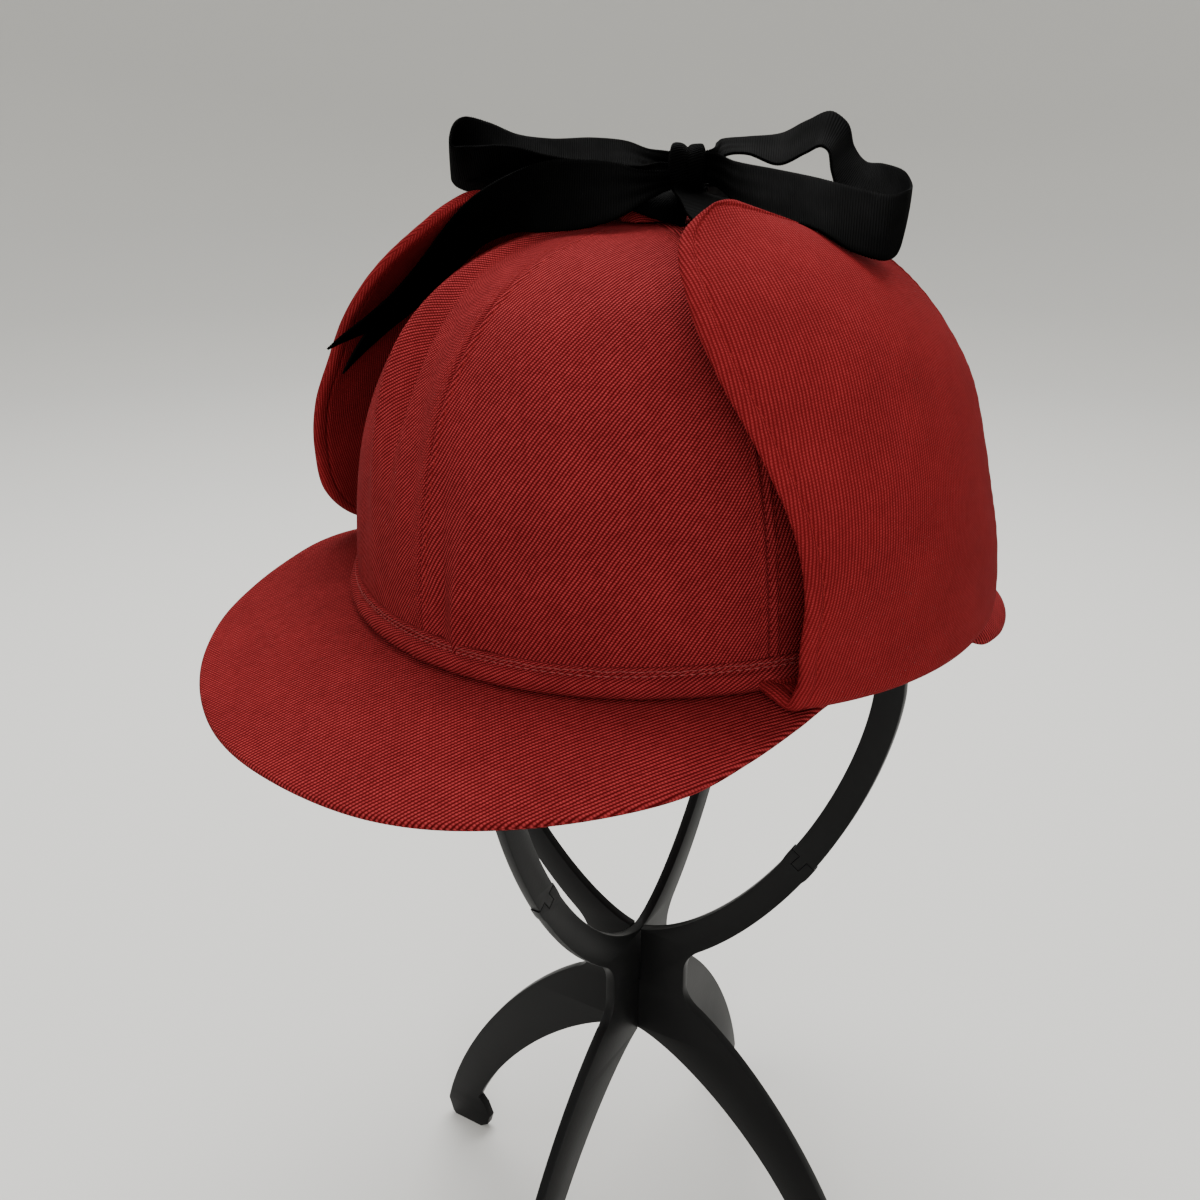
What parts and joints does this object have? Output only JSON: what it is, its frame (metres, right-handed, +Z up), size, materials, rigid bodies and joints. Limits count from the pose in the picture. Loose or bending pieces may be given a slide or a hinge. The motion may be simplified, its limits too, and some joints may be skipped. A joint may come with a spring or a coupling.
{
  "type": "deerstalker hat on a wig stand",
  "caption": "Red twill deerstalker hat with front and back peaks and ear flaps tied up over the crown by a black ribbon bow, resting on a slim black cross-plate wig stand.",
  "frame": {"origin": "middle of the overall box, on the floor under the stand's feet", "axes": "+Z up, the hat's front faces -Y, and its wearer's left is +X"},
  "size_m": [0.2082, 0.2645, 0.4015],
  "materials": {
    "red_twill": "matte wool and cotton twill",
    "black_ribbon": "grosgrain, slight sheen across the ribs",
    "black_plastic": "satin moulded plastic"
  },
  "bodies": {
    "root": {"crown_panel_front_left": "red_twill", "crown_panel_side_left": "red_twill", "crown_panel_back_left": "red_twill", "crown_panel_back_right": "red_twill", "crown_panel_side_right": "red_twill", "crown_panel_front_right": "red_twill", "crown_band": "red_twill", "crown_button": "red_twill", "front_brim": "red_twill", "back_brim": "red_twill", "ear_flap_left": "red_twill", "ear_flap_right": "red_twill", "ribbon_knot": "black_ribbon", "ribbon_loop_left": "black_ribbon", "ribbon_loop_right": "black_ribbon", "ribbon_tail_front": "black_ribbon", "ribbon_tail_back": "black_ribbon", "ribbon_tie_left": "black_ribbon", "ribbon_tie_right": "black_ribbon", "stand_plate_a": "black_plastic", "stand_plate_b": "black_plastic", "stand_arch_a": "black_plastic", "stand_arch_b": "black_plastic"}
  },
  "joints": []
}
